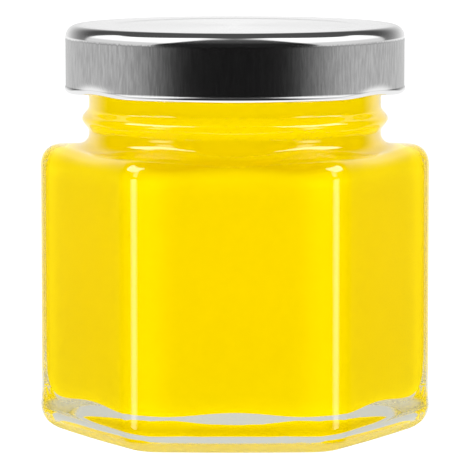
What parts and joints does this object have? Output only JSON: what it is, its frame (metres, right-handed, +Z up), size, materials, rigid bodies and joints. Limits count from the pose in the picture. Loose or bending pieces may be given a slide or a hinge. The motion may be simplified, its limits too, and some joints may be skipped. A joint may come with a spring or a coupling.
{
  "type": "hexagonal glass jar",
  "caption": "Hexagonal clear glass jar with a thick foot, a round neck bead and a pressed metal twist-off lid, shut and full of smooth yellow contents.",
  "frame": {"origin": "middle of the base, on the surface that the jar stands on", "axes": "+Z up through the lid; one face of the hexagon looks along -Y, and two corners point along +X and -X"},
  "size_m": [0.0644, 0.0572, 0.0669],
  "materials": {
    "clear_glass": "clear, fire-polished outside, with a very faint green tint in the thick foot",
    "yellow_contents": "smooth opaque food, saturated warm yellow, wet against the glass",
    "lid_metal": "silver lacquered sheet, skirt finely brushed upright, rolled edge bright"
  },
  "bodies": {
    "root": {"jar": "clear_glass", "filling": "yellow_contents", "lid": "lid_metal"}
  },
  "joints": []
}
